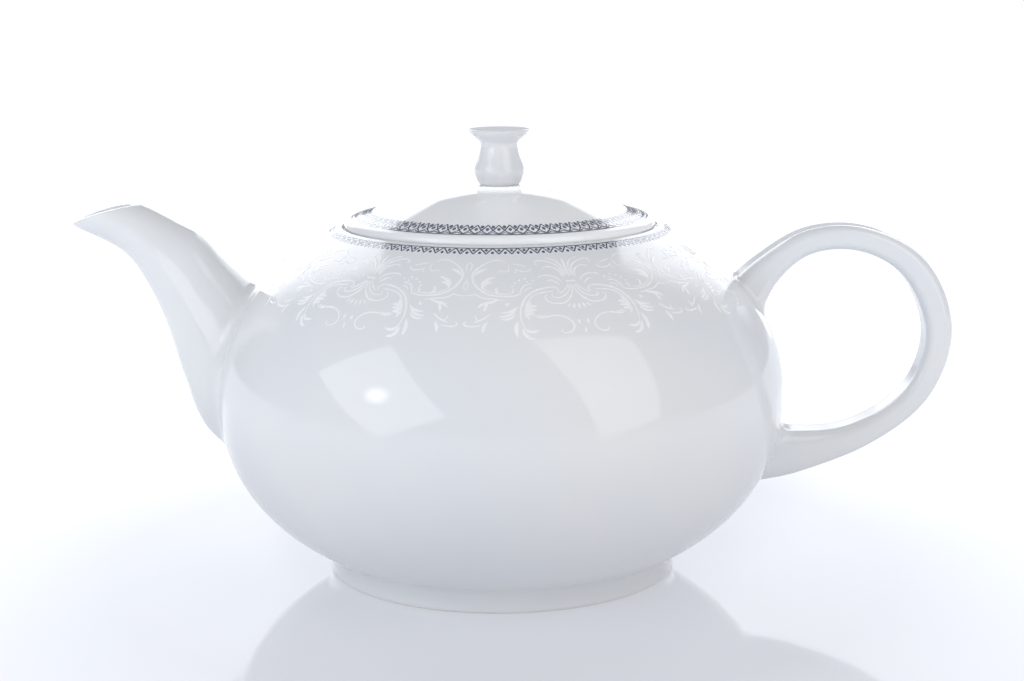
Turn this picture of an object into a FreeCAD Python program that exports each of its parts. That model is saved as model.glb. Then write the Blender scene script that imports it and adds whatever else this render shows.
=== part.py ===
"""White porcelain teapot with a lift-off lid, in millimetres.

The origin is the centre of the standing face of the foot and +Z is up.
The spout points to -X, the handle to +X.
"""
import FreeCAD, Part
import math
import os

V = FreeCAD.Vector

# Bowl: a turned shape, widest at the belly, with its own curve above and below
body_radius = 85.0
belly_height = 54.8
upper_rise = 60.3          # belly to the point where the upper curve would close
upper_power = 2.0          # 2 is an ellipse, more is fuller
lower_drop = 58.7          # belly to the point where the lower curve would close
lower_power = 2.2
wall = 3.5
floor_thickness = 3.5
floor_round = 7.0

# Foot ring
foot_height = 8.0
foot_step = 3.3            # foot inside the edge of the bowl that it carries
foot_wall = 5.2
foot_hollow = 1.25         # how far the outer side of the foot is waisted
foot_edge = 1.0

# Mouth and the ledge that carries the lid
mouth_radius = 47.0
lip_round = 1.1
seat_depth = 1.8           # ledge below the sharp corner of the mouth
ledge_width = 5.7
ledge_thickness = 3.0
ledge_round = 0.8

# Spout: stations from the root to the mouth.
# Each is (lower edge out, up), (upper edge out, up), half width,
# with "out" counted from the belly radius and "up" from the belly height.
spout_stations = [
    ((-9.0, -23.0), (-19.0, 24.5), 19.5),
    ((5.4, -9.5), (-7.0, 35.6), 16.5),
    ((11.0, 6.0), (-1.5, 41.0), 13.2),
    ((15.2, 20.5), (3.7, 46.8), 10.8),
    ((20.1, 32.0), (10.5, 50.6), 9.2),
    ((26.9, 42.0), (17.3, 54.4), 8.5),
    ((42.6, 50.5), (21.8, 56.6), 8.6),
]
spout_wall = 2.6
round_fullness = 0.5523    # pull of the four quarter curves that make an ellipse

# Strainer in the wall behind the spout
strainer_up = 9.0          # its middle above the belly
strainer_half_height = 17.0
strainer_half_width = 10.5
strainer_thickness = 2.4
strainer_hole = 4.0
strainer_pitch = 6.6

# Handle: an ear-shaped strap, thicker where it is luted to the bowl
handle_line = [
    (-14.5, 23.5),
    (-5.8, 35.1),
    (6.9, 44.0),
    (21.0, 45.2),
    (36.7, 38.1),
    (46.6, 16.0),
    (41.6, -0.4),
    (24.0, -14.5),
    (4.0, -19.7),
    (-13.0, -20.4),
]
handle_thickness = 7.2
handle_width = 12.5
handle_top_gain = 5.4      # extra thickness at the upper root
handle_low_gain = 9.8      # extra thickness at the lower root
handle_bow_gain = 1.1      # extra thickness in the upper bend
handle_side_gain = 4.0     # extra width at both roots
handle_top_reach = 15.0    # length along which the upper root fades out
handle_low_reach = 24.0    # and the lower one
handle_bow_reach = 20.0    # and the bend's, to both sides
handle_bow_place = 0.46    # middle of the bend, as a share of the handle's length
handle_fullness = 0.88     # above round_fullness the section is a softened oblong
handle_sections = 17

# Lid
lid_play = 0.7             # lid edge to mouth
skirt_play = 1.0           # skirt to ledge
bead_height = 3.9
bead_inset = 1.9           # top of the bead inside its widest circle
bead_foot_inset = 1.0      # flat underside inside the widest circle
brow_radius = 25.0         # where the straight slope of the cover starts to level out
brow_height = 9.7
brow_sag = 0.5             # how far the middle bulges above a straight slope
collar_radius = 5.8        # where the knob is luted on
collar_height = 13.25
cover_thickness = 3.2
hollow_step = 1.0          # hollow of the cover inside the skirt
hollow_drop = 1.0          # edge of the hollow below the top of the bead
hollow_sag = 1.0
vent_diameter = 4.0
vent_reach = 27.0

skirt_wall = 3.0
skirt_depth = 10.0
skirt_round = 0.9

# Knob
# Its outline above the collar, as radius and height: bulb, waist, underside and edge of the head
knob_line = [
    (6.3, 0.6),
    (6.75, 1.8),
    (7.2, 3.1),
    (7.35, 4.4),
    (7.1, 5.7),
    (6.65, 6.9),
    (6.15, 8.1),
    (5.8, 9.3),
    (5.55, 10.5),
    (5.42, 11.6),
    (5.6, 12.7),
    (6.85, 13.9),
    (8.25, 15.1),
    (8.95, 16.2),
]
knob_edge = 0.35
knob_crown = 0.25          # middle of the head above its edge


def power_curve(across, along, reach, power):
    """Radius of a rounded outline at a distance along its axis."""
    share = min(abs(along) / reach, 1.0)
    return across * (1.0 - share ** power) ** (1.0 / power)


def bowl_radius(height, inset):
    """Radius of the bowl at a height, on a skin that lies inset below the outside."""
    along = height - belly_height
    if along > 0.0:
        return power_curve(body_radius - inset, along, upper_rise - inset, upper_power)
    return power_curve(body_radius - inset, along, lower_drop - inset, lower_power)


def bowl_top(radius, inset):
    """Height of the bowl's upper side at a radius."""
    return belly_height + power_curve(upper_rise - inset, radius, body_radius - inset, upper_power)


foot_radius = bowl_radius(foot_height, 0.0) - foot_step
rim_height = bowl_top(mouth_radius, 0.0)
seat_height = rim_height - seat_depth
ledge_radius = mouth_radius - ledge_width
bead_radius = mouth_radius - lid_play
skirt_radius = ledge_radius - skirt_play
cover_hollow = skirt_radius - skirt_wall - hollow_step
floor_height = foot_height + floor_thickness
collar_top = seat_height + collar_height
quarter_sag = 1.0 - math.sqrt(0.5)     # sag of a quarter circle of radius 1


def at(radius, height):
    return V(radius, 0.0, height)


def line(start, end):
    return Part.LineSegment(at(*start), at(*end)).toShape()


def arc(start, end, sag):
    """Arc that bows by sag to the left of the way from start to end."""
    run = end[0] - start[0]
    rise = end[1] - start[1]
    length = math.hypot(run, rise)
    middle_radius = (start[0] + end[0]) / 2.0 - rise / length * sag
    middle_height = (start[1] + end[1]) / 2.0 + run / length * sag
    return Part.Arc(at(*start), at(middle_radius, middle_height), at(*end)).toShape()


def spline(points):
    curve = Part.BSplineCurve()
    curve.interpolate([at(*point) for point in points])
    return curve.toShape()


def turned(edges):
    """Solid of revolution about Z from the edges of a closed half outline."""
    face = Part.Face(Part.Wire(edges))
    return face.revolve(V(0, 0, 0), V(0, 0, 1), 360)


def ring_edges(shape, radius, height):
    """Edges of a turned shape that are circles of a radius at a height."""
    found = []
    for edge in shape.Edges:
        if not isinstance(edge.Curve, Part.Circle):
            continue
        middle = edge.Curve.Center
        if abs(edge.Curve.Radius - radius) < 0.01 and abs(middle.z - height) < 0.01:
            found.append(edge)
    return found


def bowl_skin(low, top_radius, inset, steps=9):
    """Points of the bowl's skin from a low height up to a radius on its upper side."""
    high = bowl_top(top_radius, inset)
    lower_turn = math.asin((belly_height - low) / (lower_drop - inset))
    upper_turn = math.asin((high - belly_height) / (upper_rise - inset))
    points = []
    for step in range(steps):
        height = belly_height - (lower_drop - inset) * math.sin(lower_turn * (1 - step / steps))
        points.append((bowl_radius(height, inset), height))
    for step in range(steps + 1):
        height = belly_height + (upper_rise - inset) * math.sin(upper_turn * step / steps)
        points.append((bowl_radius(height, inset), height))
    return points


def bowl_block():
    """The bowl's outside as a full block, to trim what is luted onto it."""
    skin = bowl_skin(foot_height, mouth_radius, 0.0)
    edges = [
        line((0.0, foot_height), skin[0]),
        spline(skin),
        line(skin[-1], (0.0, rim_height)),
        line((0.0, rim_height), (0.0, foot_height)),
    ]
    return turned(edges)


def strainer_plug():
    """Oval rod along X that outlines the opening behind the spout."""
    start = -(body_radius + wall)
    middle = V(start, 0.0, belly_height + strainer_up)
    tall = middle + V(0, 0, strainer_half_height)
    side = middle + V(0, strainer_half_width, 0)
    oval = Part.Ellipse(tall, side, middle).toShape()
    return Part.Face(Part.Wire([oval])).extrude(V(body_radius / 2.0, 0, 0))


def make_body_bowl():
    outside = bowl_skin(foot_height, mouth_radius, 0.0)
    inside = bowl_skin(floor_height, mouth_radius, wall)
    edges = [
        line((0.0, foot_height), outside[0]),
        spline(outside),
        line(outside[-1], inside[-1]),
        spline(inside[::-1]),
        line(inside[0], (0.0, floor_height)),
        line((0.0, floor_height), (0.0, foot_height)),
    ]
    bowl = turned(edges)
    bowl = bowl.makeFillet(lip_round, ring_edges(bowl, mouth_radius, rim_height))
    bowl = bowl.makeFillet(floor_round, ring_edges(bowl, inside[0][0], floor_height))
    return bowl.cut(strainer_plug())


def make_foot_ring():
    top = bowl_radius(foot_height, 0.0)
    inner = foot_radius - foot_wall
    edges = [
        line((inner, foot_height), (top, foot_height)),
        arc((top, foot_height), (foot_radius, foot_edge), -foot_hollow),
        arc((foot_radius, foot_edge), (foot_radius - foot_edge, 0.0), quarter_sag * foot_edge),
        line((foot_radius - foot_edge, 0.0), (inner + foot_edge, 0.0)),
        arc((inner + foot_edge, 0.0), (inner, foot_edge), quarter_sag * foot_edge),
        line((inner, foot_edge), (inner, foot_height)),
    ]
    return turned(edges)


def make_gallery_ring():
    low = seat_height - ledge_thickness
    edges = [
        line((ledge_radius, low), (mouth_radius, low)),
        line((mouth_radius, low), (mouth_radius, seat_height)),
        line((mouth_radius, seat_height), (ledge_radius, seat_height)),
        line((ledge_radius, seat_height), (ledge_radius, low)),
    ]
    ring = turned(edges)
    inner = ring_edges(ring, ledge_radius, low) + ring_edges(ring, ledge_radius, seat_height)
    return ring.makeFillet(ledge_round, inner)


def oval_poles(middle, half_a, half_b, fullness):
    """Control points of a closed smooth oval, from two half axes given as vectors."""
    near_a = half_a * fullness
    near_b = half_b * fullness
    ring = [
        half_a,
        half_a + near_b,
        half_b + near_a,
        half_b - near_a,
        near_b - half_a,
        half_a * -1.0 - near_b,
        half_b * -1.0 - near_a,
        near_a - half_b,
        half_a - near_b,
        half_a,
    ]
    return [middle + point for point in ring]


def skinned(sections):
    """Closed solid whose side runs smoothly through ovals given by their control points."""
    spans = [0.0]
    for first, second in zip(sections[:-1], sections[1:]):
        gaps = [(after - before).Length for before, after in zip(first, second)]
        spans.append(spans[-1] + sum(gaps) / len(gaps))
    columns = []
    for index in range(len(sections[0])):
        curve = Part.BSplineCurve()
        curve.interpolate(Points=[section[index] for section in sections], Parameters=spans)
        columns.append(curve.getPoles())
    surface = Part.BSplineSurface()
    surface.buildFromPolesMultsKnots(
        columns, [4, 2, 2, 2, 4], curve.getMultiplicities(),
        [0, 1, 2, 3, 4], curve.getKnots(), False, False, 3, curve.Degree)
    side = surface.toShape()
    caps = [Part.Face(Part.Wire([edge])) for edge in side.Edges if edge.isClosed()]
    shell = Part.makeShell([side] + caps)
    shell.sewShape()
    solid = Part.makeSolid(shell)
    if solid.Volume < 0.0:
        solid.reverse()
    return solid


def spout_point(place):
    return V(-(body_radius + place[0]), 0.0, belly_height + place[1])


def spout_body(inset, overrun):
    """Spout on a skin that lies inset below the outside, run on past both ends."""
    middles = []
    sections = []
    for lower, upper, half_width in spout_stations:
        low = spout_point(lower)
        high = spout_point(upper)
        half = (high - low) * 0.5
        half = half * ((half.Length - inset) / half.Length)
        side = V(0, half_width - inset, 0)
        middles.append((low + high) * 0.5)
        sections.append(oval_poles(middles[-1], half, side, round_fullness))
    if overrun > 0.0:
        onward = (middles[-1] - middles[-2]).normalize() * overrun
        backward = (middles[0] - middles[1]).normalize() * overrun
        sections.append([point + onward for point in sections[-1]])
        sections.insert(0, [point + backward for point in sections[0]])
    return skinned(sections)


def make_spout():
    tube = spout_body(0.0, 0.0).cut(spout_body(spout_wall, 2.0))
    return tube.cut(bowl_block())


def make_strainer():
    outer = (wall - strainer_thickness) / 2.0
    inner = outer + strainer_thickness
    outside = bowl_skin(floor_height, mouth_radius, outer)
    inside = bowl_skin(floor_height, mouth_radius, inner)
    shell = turned([
        spline(outside),
        line(outside[-1], inside[-1]),
        spline(inside[::-1]),
        line(inside[0], outside[0]),
    ])
    plate = shell.common(strainer_plug())
    rim = strainer_hole
    rows = int(strainer_half_height / strainer_pitch) + 1
    start = -(body_radius + wall)
    for row in range(-2 * rows, 2 * rows + 1):
        up = row * strainer_pitch * math.sqrt(3.0) / 2.0
        for column in range(-rows, rows + 1):
            side = (column + 0.5 * (row % 2)) * strainer_pitch
            reach = math.hypot(up / (strainer_half_height - rim), side / (strainer_half_width - rim))
            if reach > 1.0:
                continue
            foot = V(start, side, belly_height + strainer_up + up)
            hole = Part.makeCylinder(strainer_hole / 2.0, body_radius / 2.0, foot, V(1, 0, 0))
            plate = plate.cut(hole)
    return plate


def make_handle():
    path = Part.BSplineCurve()
    path.interpolate([V(body_radius + out, 0.0, belly_height + up) for out, up in handle_line])
    length = path.length()
    sections = []
    for step in range(handle_sections):
        along = length * step / (handle_sections - 1)
        place = path.parameterAtDistance(along)
        heading = path.tangent(place)[0]
        top_share = math.exp(-(along / handle_top_reach) ** 2)
        low_share = math.exp(-((length - along) / handle_low_reach) ** 2)
        bow_share = math.exp(-((along - length * handle_bow_place) / handle_bow_reach) ** 2)
        thick = handle_thickness + handle_top_gain * top_share + handle_low_gain * low_share
        thick += handle_bow_gain * bow_share
        wide = handle_width + handle_side_gain * (top_share + low_share)
        across = heading.cross(V(0, 1, 0)) * (thick / 2.0)
        sections.append(oval_poles(path.value(place), across, V(0, wide / 2.0, 0), handle_fullness))
    return skinned(sections).cut(bowl_block())


def make_lid_cover():
    bead_top = (bead_radius - bead_inset, seat_height + bead_height)
    bead_foot = (bead_radius - bead_foot_inset, seat_height)
    bead_side = at(bead_radius, seat_height + bead_height / 2.0)
    brow = (brow_radius, seat_height + brow_height)
    collar = (collar_radius, collar_top)
    hollow_edge = (cover_hollow, seat_height + bead_height - hollow_drop)
    hollow_top = (0.0, collar_top - cover_thickness)
    cover = turned([
        line((cover_hollow, seat_height), bead_foot),
        Part.Arc(at(*bead_foot), bead_side, at(*bead_top)).toShape(),
        line(bead_top, brow),
        arc(brow, collar, -brow_sag),
        line(collar, (0.0, collar_top)),
        line((0.0, collar_top), hollow_top),
        arc(hollow_top, hollow_edge, hollow_sag),
        line(hollow_edge, (cover_hollow, seat_height)),
    ])
    vent = Part.makeCylinder(vent_diameter / 2.0, collar_height, V(0, vent_reach, seat_height))
    return cover.cut(vent)


def make_lid_skirt():
    low = seat_height - skirt_depth
    inner = skirt_radius - skirt_wall
    ring = turned([
        line((inner, low), (skirt_radius, low)),
        line((skirt_radius, low), (skirt_radius, seat_height)),
        line((skirt_radius, seat_height), (inner, seat_height)),
        line((inner, seat_height), (inner, low)),
    ])
    return ring.makeFillet(skirt_round, ring_edges(ring, inner, low) + ring_edges(ring, skirt_radius, low))


def make_lid_knob():
    side = [(collar_radius, collar_top)]
    side += [(radius, collar_top + height) for radius, height in knob_line]
    rim = (side[-1][0] - knob_edge, side[-1][1] + knob_edge)
    crown = (0.0, rim[1] + knob_crown)
    chord = math.hypot(rim[0], knob_crown)
    crown_radius = chord * chord / 2.0 / knob_crown
    crown_sag = crown_radius - math.sqrt(crown_radius ** 2 - chord ** 2 / 4.0)
    return turned([
        line((0.0, collar_top), side[0]),
        spline(side),
        arc(side[-1], rim, -quarter_sag * knob_edge),
        arc(rim, crown, -crown_sag),
        line(crown, (0.0, collar_top)),
    ])


pieces = {
    "body_bowl": make_body_bowl,
    "foot_ring": make_foot_ring,
    "gallery_ring": make_gallery_ring,
    "spout": make_spout,
    "strainer": make_strainer,
    "handle": make_handle,
    "lid_cover": make_lid_cover,
    "lid_skirt": make_lid_skirt,
    "lid_knob": make_lid_knob,
}

os.makedirs("parts", exist_ok=True)
for name, make in pieces.items():
    shape = make()
    solids = shape.Solids
    if len(solids) != 1:
        raise ValueError("%s has %d solids" % (name, len(solids)))
    solids[0].exportStep("parts/%s.step" % name)
    box = solids[0].BoundBox
    print(name, solids[0].isValid(), "volume %.0f" % solids[0].Volume,
          "x %.1f %.1f y %.1f %.1f z %.1f %.1f" % (
              box.XMin, box.XMax, box.YMin, box.YMax, box.ZMin, box.ZMax))
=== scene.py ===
import math
import bmesh
import bpy
import numpy as np
from mathutils import Matrix, Vector


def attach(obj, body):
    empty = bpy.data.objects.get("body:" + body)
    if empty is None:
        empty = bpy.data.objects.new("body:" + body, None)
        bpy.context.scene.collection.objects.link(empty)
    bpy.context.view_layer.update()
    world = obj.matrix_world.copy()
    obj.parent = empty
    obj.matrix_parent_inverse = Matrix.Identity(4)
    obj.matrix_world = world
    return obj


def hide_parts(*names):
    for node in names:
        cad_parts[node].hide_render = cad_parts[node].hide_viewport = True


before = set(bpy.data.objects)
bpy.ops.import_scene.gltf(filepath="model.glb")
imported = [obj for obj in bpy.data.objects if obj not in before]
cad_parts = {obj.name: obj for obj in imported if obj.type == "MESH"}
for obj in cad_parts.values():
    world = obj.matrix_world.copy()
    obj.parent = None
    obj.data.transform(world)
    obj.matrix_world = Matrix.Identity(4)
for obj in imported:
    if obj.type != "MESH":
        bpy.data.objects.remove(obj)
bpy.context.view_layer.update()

# Body bowl: the thrown porcelain bowl with its floor and rounded lip.
# It is glazed all over, inside and out, and stands on the foot ring.
MM = 0.001
BOWL_RADIUS = 85.0
BELLY = 54.8
UPPER_RISE = 60.3
LOWER_DROP = 58.7
LOWER_POWER = 2.2
WALL = 3.5
FOOT_TOP = 8.0
FLOOR = 11.5
MOUTH = 47.0


def bowl_radius(height, inset=0.0):
    """Radius of the bowl at heights in millimetres, inset below its outside."""
    along = np.asarray(height, float) - BELLY
    upper = 1.0 - np.clip(along / (UPPER_RISE - inset), 0.0, 1.0) ** 2
    lower = 1.0 - np.clip(-along / (LOWER_DROP - inset), 0.0, 1.0) ** LOWER_POWER
    return (BOWL_RADIUS - inset) * np.where(along > 0.0, upper ** 0.5, lower ** (1.0 / LOWER_POWER))


def bowl_top(radius, inset=0.0):
    """Height of the bowl's shoulder at a radius in millimetres."""
    share = radius / (BOWL_RADIUS - inset)
    return BELLY + (UPPER_RISE - inset) * math.sqrt(1.0 - share * share)


def bowl_skin(low, top_radius, inset, count):
    """Outline points of the bowl's skin from a low height up to a radius on its shoulder."""
    start = -math.asin((BELLY - low) / (LOWER_DROP - inset))
    end = math.asin((bowl_top(top_radius, inset) - BELLY) / (UPPER_RISE - inset))
    turns = np.linspace(start, end, count)
    reach = np.where(turns > 0.0, UPPER_RISE - inset, LOWER_DROP - inset)
    heights = BELLY + reach * np.sin(turns)
    return list(zip(bowl_radius(heights, inset), heights))


def bow(start, end, sag, count):
    """Points of an arc after start, bowed by sag to the left of the way to end."""
    start, end = np.array(start, float), np.array(end, float)
    chord = end - start
    length = np.linalg.norm(chord)
    left = np.array([-chord[1], chord[0]]) / length
    bend = (length * length / 4.0 + sag * sag) / (2.0 * abs(sag))
    half = math.asin(min(1.0, length / 2.0 / bend))
    side = left * math.copysign(1.0, sag)
    middle = (start + end) / 2.0 + side * (abs(sag) - bend)
    points = []
    for turn in np.linspace(-half, half, count + 1)[1:]:
        points.append(tuple(middle + chord / length * bend * math.sin(turn) + side * bend * math.cos(turn)))
    return points


def bent(first, corner, last, count):
    """Points of a curve from first to last that leaves and arrives along the lines to a corner."""
    share = np.linspace(0.0, 1.0, count)[:, None]
    return first * (1 - share) ** 2 + corner * 2 * share * (1 - share) + last * share ** 2


def rounded(before, corner, after, size, count):
    """Points that round a corner of an outline off."""
    corner = np.array(corner, float)
    back = np.array(before, float) - corner
    on = np.array(after, float) - corner
    first = corner + back / np.linalg.norm(back) * size
    last = corner + on / np.linalg.norm(on) * size
    return [tuple(point) for point in bent(first, corner, last, count)]


def new_object(name, data):
    """Object at the origin, linked to the scene."""
    made = bpy.data.objects.new(name, data)
    bpy.context.scene.collection.objects.link(made)
    return made


def make_object(name, mesh, sharp=22.0):
    """Object from a closed bmesh, faces outward, smooth but for its sharp edges."""
    bmesh.ops.recalc_face_normals(mesh, faces=mesh.faces)
    data = bpy.data.meshes.new(name)
    mesh.to_mesh(data)
    mesh.free()
    for face in data.polygons:
        face.use_smooth = True
    data.set_sharp_from_angle(angle=math.radians(sharp))
    return new_object(name, data)


def bridge(mesh, first, second):
    """Faces between two rings of points, where a pole is a ring of one point repeated."""
    for step in range(len(first)):
        after = (step + 1) % len(first)
        corners = dict.fromkeys([first[step], first[after], second[after], second[step]])
        if len(corners) > 2:
            mesh.faces.new(list(corners))


def turned(name, outline, loop=False, steps=224):
    """Turned piece about Z from an outline of (radius, height) in millimetres."""
    mesh = bmesh.new()
    rings = []
    for radius, height in outline:
        if radius < 1e-6:
            rings.append([mesh.verts.new((0.0, 0.0, height * MM))] * steps)
            continue
        ring = []
        for step in range(steps):
            turn = 2.0 * math.pi * step / steps
            out = radius * MM
            ring.append(mesh.verts.new((out * math.cos(turn), out * math.sin(turn), height * MM)))
        rings.append(ring)
    pairs = list(zip(rings, rings[1:]))
    if loop:
        pairs.append((rings[-1], rings[0]))
    for first, second in pairs:
        bridge(mesh, first, second)
    return make_object(name, mesh)


def cut_away(piece, cutter):
    """Takes the cutter's volume out of a piece and removes the cutter."""
    modifier = piece.modifiers.new("cut", "BOOLEAN")
    modifier.operation = "DIFFERENCE"
    modifier.solver = "EXACT"
    modifier.object = cutter
    depsgraph = bpy.context.evaluated_depsgraph_get()
    data = bpy.data.meshes.new_from_object(piece.evaluated_get(depsgraph))
    piece.modifiers.clear()
    piece.data = data
    bpy.data.objects.remove(cutter)


def rod(name, centre, direction, half_a, half_b, length, steps=48):
    """Oval rod in millimetres; its half axes are given as vectors."""
    mesh = bmesh.new()
    ends = []
    for end in (0.0, length):
        ring = []
        for step in range(steps):
            turn = 2.0 * math.pi * step / steps
            point = Vector(centre) + Vector(direction) * end
            point += Vector(half_a) * math.cos(turn) + Vector(half_b) * math.sin(turn)
            ring.append(mesh.verts.new(point * MM))
        ends.append(ring)
    bridge(mesh, *ends)
    mesh.faces.new(ends[0])
    mesh.faces.new(ends[1])
    return make_object(name, mesh)


def add_node(tree, kind, **settings):
    """New node with its settings."""
    node = tree.nodes.new(kind)
    for label, value in settings.items():
        setattr(node, label, value)
    return node


def object_place(tree):
    """Place on a piece, in metres."""
    return add_node(tree, "ShaderNodeTexCoord").outputs["Object"]


def finish_group(name):
    """Shader node group of a finish, still empty, and the place that its patterns read."""
    group = bpy.data.node_groups.new(name, "ShaderNodeTree")
    group.interface.new_socket(name="Color", in_out="OUTPUT", socket_type="NodeSocketColor")
    for label in ("Roughness", "Height"):
        group.interface.new_socket(name=label, in_out="OUTPUT", socket_type="NodeSocketFloat")
    return group, object_place(group)


def end_group(group, colour, roughness, height):
    """Links what a finish group puts out."""
    end = add_node(group, "NodeGroupOutput")
    for label, source in (("Color", colour), ("Roughness", roughness), ("Height", height)):
        group.links.new(source, end.inputs[label])


def noise(tree, coordinates, scale, detail):
    """Soft random values, where scale is their number in a metre."""
    node = tree.nodes.new("ShaderNodeTexNoise")
    node.inputs["Scale"].default_value = scale
    node.inputs["Detail"].default_value = detail
    tree.links.new(coordinates, node.inputs["Vector"])
    return node.outputs["Fac"]


def spread(tree, value, low, high, to_low, to_high):
    """Maps a value from one range to another."""
    node = tree.nodes.new("ShaderNodeMapRange")
    for label, number in (("From Min", low), ("From Max", high),
                          ("To Min", to_low), ("To Max", to_high)):
        node.inputs[label].default_value = number
    tree.links.new(value, node.inputs["Value"])
    return node.outputs["Result"]


def blend_colours(tree, share, first, second):
    """Mixes two colours, each a tuple or an output, by a share."""
    node = tree.nodes.new("ShaderNodeMix")
    node.data_type = "RGBA"
    tree.links.new(share, node.inputs["Factor"])
    for socket, colour in ((node.inputs[6], first), (node.inputs[7], second)):
        if isinstance(colour, tuple):
            socket.default_value = (*colour, 1.0)
        else:
            tree.links.new(colour, socket)
    return node.outputs[2]


# The glaze: a faint cloudiness from its thickness, a gloss that varies a little,
# and the slow ripple that a poured glaze keeps after firing.
glaze_group, glaze_place = finish_group("poured_glaze")
glaze_cloud = spread(glaze_group, noise(glaze_group, glaze_place, 16.0, 3.0), 0.35, 0.65, 0.0, 1.0)
glaze_tint = blend_colours(glaze_group, glaze_cloud, (0.775, 0.795, 0.825), (0.815, 0.82, 0.825))
glaze_gloss = spread(glaze_group, noise(glaze_group, glaze_place, 70.0, 2.0), 0.3, 0.7, 0.05, 0.10)
end_group(glaze_group, glaze_tint, glaze_gloss, noise(glaze_group, glaze_place, 45.0, 1.0))
GLAZE_IOR = 1.52


def new_material(name, group, ior, bump_strength, bump_distance):
    """Material with a principled shader and a finish group."""
    material = bpy.data.materials.new(name)
    material.use_nodes = True
    tree = material.node_tree
    shader = tree.nodes["Principled BSDF"]
    shader.inputs["IOR"].default_value = ior
    finish = add_node(tree, "ShaderNodeGroup", name="finish", node_tree=group)
    bump = add_node(tree, "ShaderNodeBump")
    bump.inputs["Strength"].default_value = bump_strength
    bump.inputs["Distance"].default_value = bump_distance
    tree.links.new(finish.outputs["Color"], shader.inputs["Base Color"])
    tree.links.new(finish.outputs["Roughness"], shader.inputs["Roughness"])
    tree.links.new(finish.outputs["Height"], bump.inputs["Height"])
    tree.links.new(bump.outputs["Normal"], shader.inputs["Normal"])
    return material


white_glaze = new_material("white_glaze", glaze_group, GLAZE_IOR, 0.35, 0.0002)

outside = bowl_skin(FOOT_TOP, MOUTH, 0.0, 90)
inside = bowl_skin(FLOOR, MOUTH, WALL, 80)
bowl_outline = [(0.0, FOOT_TOP)] + outside[:-2]
bowl_outline += rounded(outside[-2], outside[-1], inside[-1], 1.1, 8)
bowl_outline += inside[::-1][:-4]
bowl_outline += rounded(inside[4], inside[0], (0.0, FLOOR), 5.0, 8)
bowl_outline += [(0.0, FLOOR)]
body_bowl = turned("body_bowl_porcelain", bowl_outline)
OPENING_UP = 9.0
OPENING_TALL = 34.0
OPENING_WIDE = 21.0
OPENING_START = -BOWL_RADIUS - 4.0
OPENING_LENGTH = 42.0
opening_cutter = rod("opening_cutter", (OPENING_START, 0.0, BELLY + OPENING_UP), (1, 0, 0),
                     (0, 0, OPENING_TALL / 2.0), (0, OPENING_WIDE / 2.0, 0), OPENING_LENGTH)
cut_away(body_bowl, opening_cutter)
body_bowl.data.materials.append(white_glaze)
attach(body_bowl, "pot")
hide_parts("body_bowl")

# Foot ring: the low turned ring that the bowl stands on.
# Its sides are glazed; the standing face is wiped bare and ground smooth.
FOOT_UPPER = float(bowl_radius(FOOT_TOP))
FOOT_RADIUS = FOOT_UPPER - 3.3
FOOT_INNER = FOOT_RADIUS - 5.2
FOOT_HOLLOW = -1.25
FOOT_EDGE = 1.0
EDGE_SAG = 0.29 * FOOT_EDGE
foot_outline = [(FOOT_INNER, FOOT_TOP), (FOOT_UPPER, FOOT_TOP)]
foot_outline += bow(foot_outline[-1], (FOOT_RADIUS, FOOT_EDGE), FOOT_HOLLOW, 16)
foot_outline += bow(foot_outline[-1], (FOOT_RADIUS - FOOT_EDGE, 0.0), EDGE_SAG, 6)
foot_outline += [(FOOT_INNER + FOOT_EDGE, 0.0)]
foot_outline += bow(foot_outline[-1], (FOOT_INNER, FOOT_EDGE), EDGE_SAG, 6)
foot_ring = turned("foot_ring_porcelain", foot_outline, loop=True)
foot_glaze = new_material("foot_glaze", glaze_group, GLAZE_IOR, 0.4, 0.0002)
foot_tree = foot_glaze.node_tree
foot_shader = foot_tree.nodes["Principled BSDF"]
foot_finish = foot_tree.nodes["finish"]


def axes_of(tree, place):
    """The X, Y and Z of a place."""
    node = add_node(tree, "ShaderNodeSeparateXYZ")
    tree.links.new(place, node.inputs["Vector"])
    return node.outputs


foot_place = object_place(foot_tree)
foot_bare = spread(foot_tree, axes_of(foot_tree, foot_place)["Z"], 0.0003, 0.0006, 1.0, 0.0)
foot_grain = noise(foot_tree, foot_place, 900.0, 4.0)
foot_clay = blend_colours(foot_tree, foot_grain, (0.70, 0.68, 0.64), (0.80, 0.785, 0.75))
foot_colour = blend_colours(foot_tree, foot_bare, foot_finish.outputs["Color"], foot_clay)
foot_rough = spread(foot_tree, foot_bare, 0.0, 1.0, 0.08, 0.75)
foot_tree.links.new(foot_colour, foot_shader.inputs["Base Color"])
foot_tree.links.new(foot_rough, foot_shader.inputs["Roughness"])
foot_ring.data.materials.append(foot_glaze)
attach(foot_ring, "pot")
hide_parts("foot_ring")

# Gallery ring: the ledge inside the mouth that carries the lid, luted into the bowl.
# It is glazed with the inside of the pot.
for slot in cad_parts["gallery_ring"].material_slots:
    slot.material = white_glaze

# Spout: a slip-cast hollow beak, luted over the strainer with a small fillet of slip.
# Its mouth is cut nearly level, with a rounded rim and a beaked lip.
SPOUT_STATIONS = [
    ((-9.0, -23.0), (-19.0, 24.5), 19.5),
    ((5.4, -9.5), (-7.0, 35.6), 16.5),
    ((11.0, 6.0), (-1.5, 41.0), 13.2),
    ((15.2, 20.5), (3.7, 46.8), 10.8),
    ((20.1, 32.0), (10.5, 50.6), 9.2),
    ((26.9, 42.0), (17.3, 54.4), 8.5),
    ((42.6, 50.5), (21.8, 56.6), 8.6),
]
SPOUT_WALL = 2.2
SPOUT_AROUND = 72
SPOUT_ALONG = 240
SPOUT_FILLET = 4.5
SPOUT_SINK = 1.2
MOUTH_RISE = 1.0
MOUTH_FADE = 4.0
LIP_BACK = 0.3
LIP_THICKER = 0.6
RIM_RISE = 0.45
LIP_RISE = 0.6


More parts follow.
